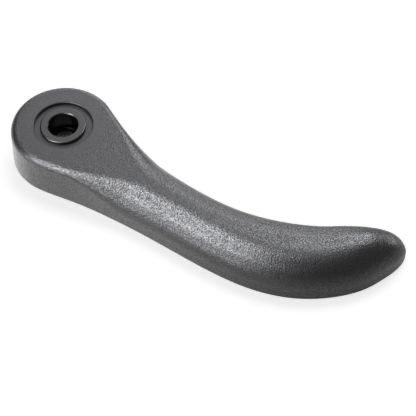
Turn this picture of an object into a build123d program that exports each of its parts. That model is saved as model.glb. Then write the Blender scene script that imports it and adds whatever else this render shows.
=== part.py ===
from build123d import *
import math
import os

os.makedirs("parts", exist_ok=True)

# Millimetres. The hub axis is Z, the open back lies on Z = 0, and the grip reaches towards +X.

# Centre line in plan: the centre of the head's round end, three points along the bend, the tip
head_x = -0.34
head_y = 0.12
bend_x = 47.5
bend_y = -15.5
bow_x = 84.5
bow_y = -21.65
return_x = 108.05
return_y = -16.5
reach = 131.6
leave_angle = -23.8  # direction in which the arm leaves the head, in degrees
tip_angle = 39.4  # direction in which the grip ends, in degrees

# Half widths across the centre line, measured at the foot
head_radius = 20.1
cheek_half_width = 18.1
neck_half_width = 14.9
wrist_half_width = 12.85
waist_half_width = 11.45
palm_half_width = 11.7
grip_half_width = 12.85
knuckle_half_width = 10.8
end_half_width = 9.8

# Distances of those widths from the head's centre, along the centre line
cheek_at = 10.0
neck_at = 20.5
wrist_at = 32.0
waist_at = 50.0
palm_at = 75.0
grip_at = 101.0
knuckle_at = 125.0

# Section of the lever
height = 15.8
head_lean = 3.7  # draft of the walls round the head, in degrees
arm_lean = 2.0  # draft of the walls along the arm
head_shoulder = 2.4  # edge radius round the head
arm_shoulder = 10.3  # edge radius along the arm and grip
blend_start = 15.0  # where the head's section starts to turn into the arm's
blend_end = 42.0
shoulder_limit = 0.93  # largest edge radius, as a share of the half width and of the height
foot_edge = 0.3  # bevel along the rim that lies on the seat
tip_run = 23.5  # length of the rounded end of the grip
tip_fullness = 0.92  # exponent of the crest's fall: 1 is an ellipse, less stays high for longer
tip_close = 0.06  # share of the full section that is left where the tip is closed

# Moulded shell and its ribs, open to the back
wall = 2.5
rib = 1.6
rib_set_back = 0.8  # ribs end this far short of the rim
rib_pitch = 12.5  # distance between cross ribs
first_rib_at = 23.0  # from the head's centre
last_rib_gap = 9.0  # least distance from the last cross rib to the tip
spokes = 7  # ribs between the boss and the wall of the head
boss_radius = 12.2

# Recess round the bush in the front face
recess_radius = 10.85
recess_depth = 1.2
recess_edge = 0.35

# Drive bush
flange_radius = 8.55
key_radius = 7.7  # over the keys that lock the bush in the boss
key_depth = 0.5
key_count = 12
fit_clearance = 0.05  # all round, between the bush and the boss
head_bore_radius = 5.5  # for the head of the fixing screw
head_bore_depth = 8.2
screw_hole_radius = 3.75
web = 2.2  # floor of the screw head bore
socket_radius = 6.1  # to the roots of the serrations
tooth_depth = 0.55
tooth_count = 30
flange_edge = 0.5
bore_edge = 0.35
seat_fillet = 0.4  # in the corner under the screw head
hole_edge = 0.3

# How finely the forms follow the laws
section_pitch = 6.0
tip_sections = 12
law_steps = 300
overcut = 2.0  # how far cutting shapes run past the faces that they cut
standing = (Align.CENTER, Align.CENTER, Align.MIN)


def direction(angle):
    """Unit vector in the plan at an angle in degrees from +X."""
    return Vector(math.cos(math.radians(angle)), math.sin(math.radians(angle)), 0)


spine = Spline(
    (head_x, head_y),
    (bend_x, bend_y),
    (bow_x, bow_y),
    (return_x, return_y),
    (reach, 0),
    tangents=[direction(leave_angle), direction(tip_angle)],
)
tip_start = spine.length - tip_run


def size_law(*points):
    """A smooth law through (distance along the centre line, size) points, level at both ends."""
    curve = Spline(*points, tangents=[(1, 0), (1, 0)])
    steps = [curve @ (i / law_steps) for i in range(law_steps + 1)]

    def at(distance):
        for low, high in zip(steps, steps[1:]):
            if distance <= high.X:
                return low.Y + (high.Y - low.Y) * (distance - low.X) / (high.X - low.X)
        return steps[-1].Y

    return at


half_width_at = size_law(
    (0, head_radius),
    (cheek_at, cheek_half_width),
    (neck_at, neck_half_width),
    (wrist_at, wrist_half_width),
    (waist_at, waist_half_width),
    (palm_at, palm_half_width),
    (grip_at, grip_half_width),
    (knuckle_at, knuckle_half_width),
    (spine.length, end_half_width),
)


def blend(distance, at_head, on_arm):
    """A size of the section that turns smoothly from the head's into the arm's."""
    part = min(max((distance - blend_start) / (blend_end - blend_start), 0), 1)
    return at_head + (on_arm - at_head) * part * part * (3 - 2 * part)


def tip_share(distance, inset):
    """Share of the full section: 1 along the arm, then falling as an ellipse to 0 at the tip."""
    part = max(0, distance - tip_start) / (tip_run - inset)
    return math.sqrt(max(0, 1 - part * part))


def side_points(distance, inset):
    """One side of the section: foot, top of its bevel, top of the wall, middle and end of the arc."""
    share = tip_share(distance, inset)
    width = (half_width_at(distance) - inset) * share
    crest = (height - inset) * share**tip_fullness
    shoulder = max(blend(distance, head_shoulder, arm_shoulder) - inset, rib)
    radius = min(shoulder, shoulder_limit * width, shoulder_limit * crest)
    lean = math.radians(blend(distance, head_lean, arm_lean))
    centre_z = crest - radius
    centre_x = width - centre_z * math.tan(lean) - radius / math.cos(lean)
    bevel = foot_edge * share
    foot = width if inset else width - bevel

    def arc_point(angle):
        return (centre_x + radius * math.cos(angle), centre_z + radius * math.sin(angle))

    return [
        (foot, 0),
        (width - bevel * math.tan(lean), bevel),
        arc_point(lean),
        arc_point((lean + math.pi / 2) / 2),
        (centre_x, crest),
    ]


def plane_across(distance):
    """Plane across the centre line, with its X to the left and its Y up, looking along it."""
    share = distance / spine.length
    along = spine.tangent_at(share)
    across = Vector(0, 0, 1).cross(along)
    return Plane(origin=spine @ share, x_dir=across, z_dir=along)


def section_wire(distance, inset):
    """Closed section: a flat foot, two bevels, two leaning walls, two shoulders, a level crest."""
    plane = plane_across(distance)
    points = side_points(distance, inset)
    left = [plane.from_local_coords((x, z, 0)) for x, z in points]
    right = [plane.from_local_coords((-x, z, 0)) for x, z in points]
    return Wire(
        [
            Edge.make_line(left[0], left[1]),
            Edge.make_line(left[1], left[2]),
            Edge.make_three_point_arc(left[2], left[3], left[4]),
            Edge.make_line(left[4], right[4]),
            Edge.make_three_point_arc(right[4], right[3], right[2]),
            Edge.make_line(right[2], right[1]),
            Edge.make_line(right[1], right[0]),
            Edge.make_line(right[0], left[0]),
        ]
    )


def section_distances(inset):
    """Where the sections stand: evenly along the arm, then closer and closer up to the tip."""
    count = round(tip_start / section_pitch)
    arm = [tip_start * i / count for i in range(count)]
    last_angle = math.acos(tip_close)
    steps = [last_angle * i / tip_sections for i in range(tip_sections + 1)]
    return arm + [tip_start + (tip_run - inset) * math.sin(a) for a in steps]


def lever_form(inset=0.0):
    """The lever as a full solid, moved inwards by inset: half a turned head and a lofted arm."""
    foot, bevel_top, wall_top, mid, crest_edge = side_points(0, inset)
    crest = crest_edge[1]
    profile = Plane.XZ * (
        Line((0, 0), foot)
        + Line(foot, bevel_top)
        + Line(bevel_top, wall_top)
        + ThreePointArc(wall_top, mid, crest_edge)
        + Line(crest_edge, (0, crest))
        + Line((0, crest), (0, 0))
    )
    half_turn = revolve(make_face(profile), Axis.Z, 180)
    head = Pos(head_x, head_y, 0) * Rot(0, 0, leave_angle + 90) * half_turn
    arm = Solid.make_loft([section_wire(s, inset) for s in section_distances(inset)])
    return head + arm


def rib_plates():
    """Upright plates: one along the centre line, cross ribs along the arm, spokes in the head."""
    outwards = (Align.MIN, Align.CENTER, Align.MIN)
    middle = extrude(trace(spine, rib), height)
    cross = []
    distance = first_rib_at
    while distance < spine.length - last_rib_gap:
        plate = Box(2 * head_radius, height, rib, align=(Align.CENTER, Align.MIN, Align.CENTER))
        cross.append(plane_across(distance) * plate)
        distance += rib_pitch
    spoke = Box(2 * head_radius, rib, height, align=outwards)
    angles = [leave_angle + 360 * (i + 0.5) / spokes for i in range(spokes)]
    arm_side = Pos(first_rib_at, 0, 0) * Box(reach, reach, height, align=outwards)
    wheel = Part() + [Rot(0, 0, angle) * spoke for angle in angles]
    wheel -= Rot(0, 0, leave_angle) * arm_side
    return Pos(0, 0, rib_set_back) * (wheel + [middle] + cross)


def keyed_outline(grow):
    """Round outline with keys standing out of it, as on the bush, moved outwards by grow."""
    outline = Circle(key_radius - key_depth + grow)
    key_width = math.pi * key_radius / key_count
    key = Rectangle(key_radius + grow, key_width + 2 * grow, align=(Align.MIN, Align.CENTER))
    for i in range(key_count):
        outline += Rot(0, 0, 360 * i / key_count) * key
    return outline & Circle(key_radius + grow)


def lever_body():
    """One moulding: a rounded shell, open at the back, with ribs and a boss round the bush."""
    hollow = lever_form(wall) - rib_plates() - Cylinder(boss_radius, height, align=standing)
    body = lever_form() - hollow
    recess_floor = height - recess_depth
    recess = Cylinder(recess_radius, recess_depth + overcut, align=standing)
    body -= Pos(0, 0, recess_floor) * recess
    rim = body.edges().filter_by(GeomType.CIRCLE).group_by(Axis.Z)[-1].sort_by(SortBy.RADIUS)[0]
    body = fillet(rim, recess_edge)
    seat = Pos(0, 0, -overcut) * extrude(keyed_outline(fit_clearance), height + 2 * overcut)
    return body - seat


def serrated_outline():
    """The drive socket: a round hole whose wall carries pointed teeth."""
    points = []
    for i in range(tooth_count):
        root = 360 * i / tooth_count
        tooth = root + 180 / tooth_count
        points.append(direction(root) * socket_radius)
        points.append(direction(tooth) * (socket_radius - tooth_depth))
    return make_face(Polyline(*points, close=True))


def hub_bush():
    """Turned bush: a flange on the recess floor, keys in the boss, screw seat, drive socket."""
    stem_length = height - recess_depth
    stem = extrude(keyed_outline(0), stem_length)
    flange = Pos(0, 0, stem_length) * Cylinder(flange_radius, recess_depth, align=standing)
    bush = stem + flange
    web_top = height - head_bore_depth
    head_bore = Cylinder(head_bore_radius, head_bore_depth + overcut, align=standing)
    screw_hole = Cylinder(screw_hole_radius, height, align=standing)
    socket = Pos(0, 0, -overcut) * extrude(serrated_outline(), web_top - web + overcut)
    bush -= Pos(0, 0, web_top) * head_bore + screw_hole + socket

    face_rims = bush.edges().filter_by(GeomType.CIRCLE).group_by(Axis.Z)[-1]
    bush = fillet(face_rims.sort_by(SortBy.RADIUS)[-1], flange_edge)
    face_rims = bush.edges().filter_by(GeomType.CIRCLE).group_by(Axis.Z)[-1]
    bush = chamfer(face_rims.sort_by(SortBy.RADIUS)[0], bore_edge)
    web_rims = bush.edges().filter_by(GeomType.CIRCLE).filter_by_position(Axis.Z, web_top, web_top)
    bush = fillet(web_rims.sort_by(SortBy.RADIUS)[-1], seat_fillet)
    web_rims = bush.edges().filter_by(GeomType.CIRCLE).filter_by_position(Axis.Z, web_top, web_top)
    return chamfer(web_rims.sort_by(SortBy.RADIUS)[0], hole_edge)


body = lever_body()
bush = hub_bush()
export_step(body, "parts/lever_body.step")
export_step(bush, "parts/hub_bush.step")
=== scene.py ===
"""A car seat recliner lever, lying on its open back on a white studio table."""

import math

import bpy
from mathutils import Euler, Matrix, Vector


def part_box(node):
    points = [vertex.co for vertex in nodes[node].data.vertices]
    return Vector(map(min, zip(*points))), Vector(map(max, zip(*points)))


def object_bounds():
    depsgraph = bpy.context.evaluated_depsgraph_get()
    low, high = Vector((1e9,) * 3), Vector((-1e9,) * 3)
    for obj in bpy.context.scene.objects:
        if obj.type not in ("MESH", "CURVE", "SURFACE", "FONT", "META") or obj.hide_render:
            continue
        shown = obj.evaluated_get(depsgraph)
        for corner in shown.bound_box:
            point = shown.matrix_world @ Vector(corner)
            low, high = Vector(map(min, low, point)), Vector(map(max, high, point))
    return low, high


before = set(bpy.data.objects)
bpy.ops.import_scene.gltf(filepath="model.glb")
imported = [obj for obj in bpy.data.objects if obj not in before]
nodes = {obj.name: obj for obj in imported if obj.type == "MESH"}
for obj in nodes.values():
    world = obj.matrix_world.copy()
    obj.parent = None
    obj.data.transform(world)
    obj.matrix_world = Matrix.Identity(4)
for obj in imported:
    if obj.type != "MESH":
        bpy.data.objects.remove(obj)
cad_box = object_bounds()
scene = bpy.context.scene

# The lever itself: one injection moulding in dark grey plastic, with the pebbled leather grain
# that the mould leaves on its outside. The grain grows fainter over the flat face of the head
# and stops at the recess, which the mould leaves smooth and a little duller, as the bush's seat.
BODY_GREY = (0.021, 0.0212, 0.0226, 1.0)
GRAIN_CELL = 0.00055  # width of one cell
GRAIN_DEPTH = 0.000075  # from the top of a cell to the valley beside it
CELL_SOFTNESS = 0.25  # how far neighbouring domes melt together
WANDER_SIZE = 2.2  # in cells, as the next two are
WANDER_REACH = 0.9
FINE_SIZE = 0.6
FINE_SHARE = 0.4  # height of the fine unevenness on the domes
NOISE_DETAIL = 2.0
VALLEY_HEIGHT = -0.22  # heights in the pattern that count as a valley and as a top
TOP_HEIGHT = 0.2
HALF_DULL = 0.5  # dullness where there is no grain, between a top's 0 and a valley's 1
TOP_SHINE = 0.66
VALLEY_SHINE_LOSS = 0.3
RECESS_SHINE_LOSS = 0.15  # beside that of the dullness
BASE_ROUGHNESS = 0.33
VALLEY_ROUGHNESS_GAIN = 0.1
OUTSIDE_POLISH = 0.08  # roughness that the outside has less than the recess
LIP_RADIUS = 0.0112  # of the recess, from the hub axis
LIP_FADE = 0.0006
HEAD_RADIUS = 0.0200
LIP_GRAIN = 0.28  # share of the grain's depth that is left at the lip


def bare_finish(name):
    """A material with only a Principled shader; gives the material, its node tree, the shader."""
    material = bpy.data.materials.new(name)
    material.use_nodes = True
    tree = material.node_tree
    tree.nodes.clear()
    output = tree.nodes.new("ShaderNodeOutputMaterial")
    shader = tree.nodes.new("ShaderNodeBsdfPrincipled")
    tree.links.new(shader.outputs["BSDF"], output.inputs["Surface"])
    return material, tree, shader


def math_node(tree, operation, first, second=None):
    """One Math node; each input is a socket or a number."""
    node = tree.nodes.new("ShaderNodeMath")
    node.operation = operation
    for slot, value in zip(node.inputs, (first, second)):
        if value is None:
            continue
        if isinstance(value, (int, float)):
            slot.default_value = value
        else:
            tree.links.new(value, slot)
    return node.outputs["Value"]


def smooth_step(tree, value, low, high, to_low, to_high):
    """to_low up to low, to_high from high on, and an S-shaped rise between them."""
    node = tree.nodes.new("ShaderNodeMapRange")
    node.interpolation_type = "SMOOTHSTEP"
    tree.links.new(value, node.inputs["Value"])
    for name, number in (
        ("From Min", low),
        ("From Max", high),
        ("To Min", to_low),
        ("To Max", to_high),
    ):
        node.inputs[name].default_value = number
    return node.outputs["Result"]


def straight_blend(tree, share, low, high):
    """low at a share of 0, high at 1, in a straight line."""
    return math_node(tree, "ADD", low, math_node(tree, "MULTIPLY", share, high - low))


def hub_distance(tree, place):
    """Distance from the hub axis: sqrt(x^2 + y^2)."""
    parts = tree.nodes.new("ShaderNodeSeparateXYZ")
    tree.links.new(place, parts.inputs["Vector"])
    x_square = math_node(tree, "MULTIPLY", parts.outputs["X"], parts.outputs["X"])
    y_square = math_node(tree, "MULTIPLY", parts.outputs["Y"], parts.outputs["Y"])
    return math_node(tree, "SQRT", math_node(tree, "ADD", x_square, y_square))


def uneven(tree, place, size):
    """Noise whose features are about size metres across."""
    node = tree.nodes.new("ShaderNodeTexNoise")
    tree.links.new(place, node.inputs["Vector"])
    node.inputs["Scale"].default_value = 1.0 / size
    node.inputs["Detail"].default_value = NOISE_DETAIL
    return node


def grained_plastic():
    """Leather grain: domes of height fine - distance^2 between valleys, fading at the recess."""
    material, tree, shader = bare_finish("grained_plastic")
    place = tree.nodes.new("ShaderNodeTexCoord").outputs["Object"]

    # Cells whose outline wanders a little
    wander = uneven(tree, place, GRAIN_CELL * WANDER_SIZE)
    shift = tree.nodes.new("ShaderNodeVectorMath")
    shift.operation = "MULTIPLY_ADD"
    tree.links.new(wander.outputs["Color"], shift.inputs[0])
    shift.inputs[1].default_value = (GRAIN_CELL * WANDER_REACH,) * 3
    tree.links.new(place, shift.inputs[2])
    cells = tree.nodes.new("ShaderNodeTexVoronoi")
    cells.feature = "SMOOTH_F1"
    cells.inputs["Smoothness"].default_value = CELL_SOFTNESS
    cells.inputs["Scale"].default_value = 1.0 / GRAIN_CELL
    tree.links.new(shift.outputs["Vector"], cells.inputs["Vector"])
    off_centre = cells.outputs["Distance"]
    valley = math_node(tree, "MULTIPLY", off_centre, off_centre)
    fine = uneven(tree, place, GRAIN_CELL * FINE_SIZE).outputs["Fac"]
    height = math_node(tree, "SUBTRACT", math_node(tree, "MULTIPLY", fine, FINE_SHARE), valley)

    across = hub_distance(tree, place)
    outside = smooth_step(tree, across, LIP_RADIUS, LIP_RADIUS + LIP_FADE, 0.0, 1.0)
    deepening = smooth_step(tree, across, LIP_RADIUS, HEAD_RADIUS, LIP_GRAIN, 1.0)
    grained = math_node(tree, "MULTIPLY", outside, deepening)

    # The tops of the cells are polished by the mould, their valleys are dull
    swing = smooth_step(tree, height, VALLEY_HEIGHT, TOP_HEIGHT, HALF_DULL, -HALF_DULL)
    dull = math_node(tree, "ADD", HALF_DULL, math_node(tree, "MULTIPLY", grained, swing))
    lost = math_node(tree, "MULTIPLY", dull, VALLEY_SHINE_LOSS)
    shine = math_node(tree, "SUBTRACT", TOP_SHINE, lost)
    recess_loss = straight_blend(tree, outside, -RECESS_SHINE_LOSS, 0.0)
    shine = math_node(tree, "ADD", shine, recess_loss)
    rougher = math_node(tree, "MULTIPLY", dull, VALLEY_ROUGHNESS_GAIN)
    roughness = math_node(tree, "ADD", BASE_ROUGHNESS, rougher)
    polish = math_node(tree, "MULTIPLY", outside, OUTSIDE_POLISH)
    roughness = math_node(tree, "SUBTRACT", roughness, polish)

    bump = tree.nodes.new("ShaderNodeBump")
    bump.inputs["Distance"].default_value = GRAIN_DEPTH
    tree.links.new(height, bump.inputs["Height"])
    tree.links.new(grained, bump.inputs["Strength"])
    tree.links.new(bump.outputs["Normal"], shader.inputs["Normal"])
    tree.links.new(shine, shader.inputs["Specular IOR Level"])
    tree.links.new(roughness, shader.inputs["Roughness"])
    shader.inputs["Base Color"].default_value = BODY_GREY
    return material


nodes["lever_body"].data.materials.clear()
nodes["lever_body"].data.materials.append(grained_plastic())

# The drive bush: turned from steel, blackened and pressed into the boss until its flange seats.
# Its face keeps faint rings of the lathe and a satin gloss; its bore is black too, and its
# reflection is turned almost off: painted shade that keeps the deep hole dark.
BUSH_BLACK = (0.012, 0.0122, 0.0130, 1.0)
BUSH_ROUGHNESS = 0.28
FACE_SHINE = 0.42
# Painted shade: the bore's shine, turned almost off so that the hole stays dark
BORE_PAINTED_SHADE_SHINE = 0.03
BORE_RADIUS = 0.0055
BORE_FADE = 0.0001
RING_SCALE = 312.5  # a ring about every millimetre
RING_WANDER = 0.4
RING_DEPTH = 0.000002
RING_STRENGTH = 0.5


def blackened_steel():
    """Satin black metal: rings round the hub axis on the face, and a bore with painted shade, its
    reflection turned almost off.
    """
    material, tree, shader = bare_finish("blackened_steel")
    place = tree.nodes.new("ShaderNodeTexCoord").outputs["Object"]
    rings = tree.nodes.new("ShaderNodeTexWave")
    rings.wave_type = "RINGS"
    rings.rings_direction = "Z"
    rings.inputs["Scale"].default_value = RING_SCALE
    rings.inputs["Distortion"].default_value = RING_WANDER
    tree.links.new(place, rings.inputs["Vector"])
    bump = tree.nodes.new("ShaderNodeBump")
    bump.inputs["Distance"].default_value = RING_DEPTH
    bump.inputs["Strength"].default_value = RING_STRENGTH
    tree.links.new(rings.outputs["Fac"], bump.inputs["Height"])
    tree.links.new(bump.outputs["Normal"], shader.inputs["Normal"])
    # Painted shade: inside the bore's radius the shine drops almost to nothing, so the hole stays
    # dark
    across = hub_distance(tree, place)
    on_face = smooth_step(tree, across, BORE_RADIUS, BORE_RADIUS + BORE_FADE, 0.0, 1.0)
    shine = straight_blend(tree, on_face, BORE_PAINTED_SHADE_SHINE, FACE_SHINE)
    tree.links.new(shine, shader.inputs["Specular IOR Level"])
    shader.inputs["Base Color"].default_value = BUSH_BLACK
    shader.inputs["Roughness"].default_value = BUSH_ROUGHNESS
    return material


nodes["hub_bush"].data.materials.clear()
nodes["hub_bush"].data.materials.append(blackened_steel())

# The table: a large white sheet on which the lever lies, carrying only its soft shadow. The
# camera sees it glow a little, so that it reads as white without more light. The lever's gloss
# sees it glow too, more on the head's side, as bright paper in front of the walls would.
FLOOR_HALF = 3.0
FLOOR_WHITE = 0.8
FLOOR_DROP = 0.00002  # a hair below the lever's rim
FLOOR_CORNERS = ((-1, -1), (1, -1), (1, 1), (-1, 1))
FLOOR_GLOW = 0.65
SHEEN_LEFT = 1.52  # the glow that the gloss sees, at SHEEN_FROM and before it
SHEEN_RIGHT = 0.3  # and at SHEEN_TO and past it
SHEEN_FROM = 0.0  # metres from the hub, along the picture's left-to-right line
SHEEN_TO = 0.11
CAMERA_TURN = 20.03  # that line's turn from the lever's +X, in degrees


def white_table():
    """White diffuse sheet; the camera and the lever's own gloss also see a share of plain white."""
    material, tree, shader = bare_finish("white_table")
    shader.inputs["Base Color"].default_value = (FLOOR_WHITE, FLOOR_WHITE, FLOOR_WHITE, 1.0)
    shader.inputs["Roughness"].default_value = 1.0
    shader.inputs["Specular IOR Level"].default_value = 0.0
    rays = tree.nodes.new("ShaderNodeLightPath")
    seen = math_node(tree, "MULTIPLY", rays.outputs["Is Camera Ray"], FLOOR_GLOW)
    along = tree.nodes.new("ShaderNodeVectorMath")
    along.operation = "DOT_PRODUCT"
    tree.links.new(tree.nodes.new("ShaderNodeTexCoord").outputs["Object"], along.inputs[0])
    turned = math.radians(CAMERA_TURN)
    along.inputs[1].default_value = (math.cos(turned), math.sin(turned), 0.0)
    sheen = smooth_step(
        tree, along.outputs["Value"], SHEEN_FROM, SHEEN_TO, SHEEN_LEFT, SHEEN_RIGHT
    )
    mirrored = math_node(tree, "MULTIPLY", rays.outputs["Is Glossy Ray"], sheen)
    glow = tree.nodes.new("ShaderNodeEmission")
    tree.links.new(math_node(tree, "ADD", seen, mirrored), glow.inputs["Strength"])
    both = tree.nodes.new("ShaderNodeAddShader")
    tree.links.new(shader.outputs["BSDF"], both.inputs[0])
    tree.links.new(glow.outputs["Emission"], both.inputs[1])
    output = next(node for node in tree.nodes if node.type == "OUTPUT_MATERIAL")
    tree.links.new(both.outputs["Shader"], output.inputs["Surface"])
    return material


sheet = bpy.data.meshes.new("table")
sheet.from_pydata(
    [(x * FLOOR_HALF, y * FLOOR_HALF, -FLOOR_DROP) for x, y in FLOOR_CORNERS],
    [],
    [(0, 1, 2, 3)],
)
sheet.materials.append(white_table())
table = bpy.data.objects.new("table", sheet)
scene.collection.objects.link(table)

# The camera: a long lens looking down at the photograph's angle, with the head at the left and
# its right-hand side turned from the lever's +X by CAMERA_TURN. The last three values are how
# far behind, right of and below the middle of the head's face it stands, in its own axes.
CAMERA_DOWN = 54.67
CAMERA_LENS = 98.05
CAMERA_SENSOR = 36.0
CAMERA_NEAR = 0.01
CAMERA_BEHIND = 0.41816
CAMERA_RIGHT = 0.05354
CAMERA_BELOW = 0.03071

camera_data = bpy.data.cameras.new("camera")
camera_data.lens = CAMERA_LENS
camera_data.sensor_width = CAMERA_SENSOR
camera_data.clip_start = CAMERA_NEAR
camera = bpy.data.objects.new("camera", camera_data)
turn = Euler((math.radians(90 - CAMERA_DOWN), 0, math.radians(CAMERA_TURN)), "XYZ")
camera.rotation_euler = turn
face_middle = Vector((0, 0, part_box("lever_body")[1][2]))
stand_off = Vector((CAMERA_RIGHT, -CAMERA_BELOW, CAMERA_BEHIND))
camera.location = face_middle + turn.to_matrix() @ stand_off
scene.collection.objects.link(camera)
scene.camera = camera

# The studio: softboxes round the table and a dim white room round them. Each softbox shows in
# the gloss of the lever and no more, but for the overhead one, which lights the table and the
# lever's plain colour. They are a little blue, as the greys of the photograph are.
LAMP_DISTANCE = 0.9
LAMP_BLUE = (0.955, 0.96, 1.0)
ROOM_LIGHT = 0.28
ROOM_WHITE = 1.0
SOFTBOXES = {
    # bearing from the camera's right, height (degrees), width, tall (metres), power, lights table
    "key_low": (206, 22, 0.20, 0.24, 2.0, False),
    "key_middle": (206, 38, 0.20, 0.24, 3.3, False),
    "key_high": (204, 54, 0.22, 0.24, 2.5, False),
    "front_middle": (221, 38, 0.20, 0.24, 3.7, False),
    "front_high": (225, 54, 0.22, 0.24, 1.1, False),
    "front_wide": (242, 35, 0.30, 0.50, 1.9, False),
    "top_left": (196, 68, 0.22, 0.20, 3.2, False),
    "top_middle": (160, 70, 0.22, 0.20, 4.3, False),
    "top_back": (122, 70, 0.22, 0.20, 0.9, False),
    "top": (0, 88, 0.40, 0.40, 0.7, False),
    "strip_left": (203, 5, 0.30, 0.15, 1.6, False),
    "strip_front": (226, 6, 0.34, 0.17, 3.0, False),
    "strip_back": (84, 6, 0.30, 0.17, 0.8, False),
    "back_high": (66, 56, 0.20, 0.20, 2.0, False),
    "back_middle": (72, 43, 0.20, 0.20, 1.0, False),
    "back_wide": (100, 47, 0.30, 0.20, 0.6, False),
    "back_right": (52, 44, 0.20, 0.20, 1.8, False),
    "back_low": (60, 28, 0.24, 0.24, 1.8, False),
    "back_centre": (84, 28, 0.24, 0.24, 0.8, False),
    "strip_right": (35, 6, 0.40, 0.17, 1.3, False),
    "back_left": (105, 28, 0.30, 0.24, 1.3, False),
    "overhead": (73, 64, 0.42, 0.30, 2.1, True),
}


def hang_softbox(name, bearing, elevation, width, tall, power, lights_table):
    """An area lamp on a sphere round the middle of the lever, facing it."""
    lamp_data = bpy.data.lights.new("softbox_" + name, "AREA")
    lamp_data.shape = "RECTANGLE"
    lamp_data.size = width
    lamp_data.size_y = tall
    lamp_data.energy = power
    lamp_data.color = LAMP_BLUE
    lamp = bpy.data.objects.new("softbox_" + name, lamp_data)
    around, up = math.radians(bearing + CAMERA_TURN), math.radians(elevation)
    away = Vector(
        (math.cos(around) * math.cos(up), math.sin(around) * math.cos(up), math.sin(up))
    )
    low, high = cad_box
    middle = Vector(((low[0] + high[0]) / 2, (low[1] + high[1]) / 2, 0))
    lamp.location = middle + away * LAMP_DISTANCE
    lamp.rotation_euler = away.to_track_quat("Z", "Y").to_euler()
    lamp.visible_camera = False
    lamp.visible_diffuse = lights_table
    lamp.visible_glossy = not lights_table
    scene.collection.objects.link(lamp)


def even_light(tree, strength):
    """Plain white from every side."""
    light = tree.nodes.new("ShaderNodeBackground")
    light.inputs["Color"].default_value = (1.0, 1.0, 1.0, 1.0)
    light.inputs["Strength"].default_value = strength
    return light.outputs["Background"]


def dim_room():
    """A white room that is dim for the lever and the table, and white for the camera."""
    room = bpy.data.worlds.new("room")
    room.use_nodes = True
    tree = room.node_tree
    tree.nodes.clear()
    output = tree.nodes.new("ShaderNodeOutputWorld")
    rays = tree.nodes.new("ShaderNodeLightPath")
    mix = tree.nodes.new("ShaderNodeMixShader")
    tree.links.new(rays.outputs["Is Camera Ray"], mix.inputs["Fac"])
    tree.links.new(even_light(tree, ROOM_LIGHT), mix.inputs[1])
    tree.links.new(even_light(tree, ROOM_WHITE), mix.inputs[2])
    tree.links.new(mix.outputs["Shader"], output.inputs["Surface"])
    return room


for name, setting in SOFTBOXES.items():
    hang_softbox(name, *setting)
scene.world = dim_room()
scene.view_settings.view_transform = "Standard"

bpy.context.view_layer.update()
